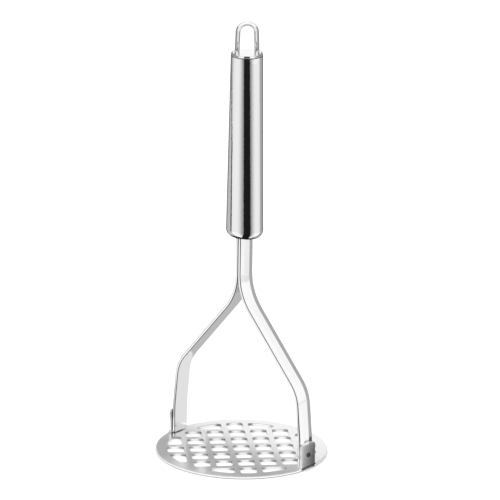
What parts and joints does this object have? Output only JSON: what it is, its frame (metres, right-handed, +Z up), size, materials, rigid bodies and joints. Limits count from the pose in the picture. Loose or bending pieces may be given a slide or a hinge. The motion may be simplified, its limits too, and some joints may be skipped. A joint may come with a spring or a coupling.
{
  "type": "potato masher",
  "caption": "Hand masher: round perforated plate on two bent flat arms, hollow round handle and a wire hanging loop.",
  "frame": {"origin": "centre of the mashing plate's underside, where the masher stands", "axes": "+Z up along the handle, the two arms spread along X"},
  "size_m": [0.0856, 0.085, 0.2205],
  "materials": {
    "plate_steel": "satin rolled stainless sheet",
    "bar_steel": "polished stainless flat bar",
    "rivet_steel": "bright stainless",
    "handle_steel": "mirror-polished stainless",
    "plug_steel": "plain stainless, hidden inside",
    "wire_steel": "polished stainless wire"
  },
  "bodies": {
    "root": {"mashing_plate": "plate_steel", "arm_right": "bar_steel", "arm_left": "bar_steel", "rivet_right": "rivet_steel", "rivet_left": "rivet_steel", "handle_tube": "handle_steel", "tang_plug": "plug_steel", "end_cap": "handle_steel", "hanging_loop": "wire_steel"}
  },
  "joints": []
}
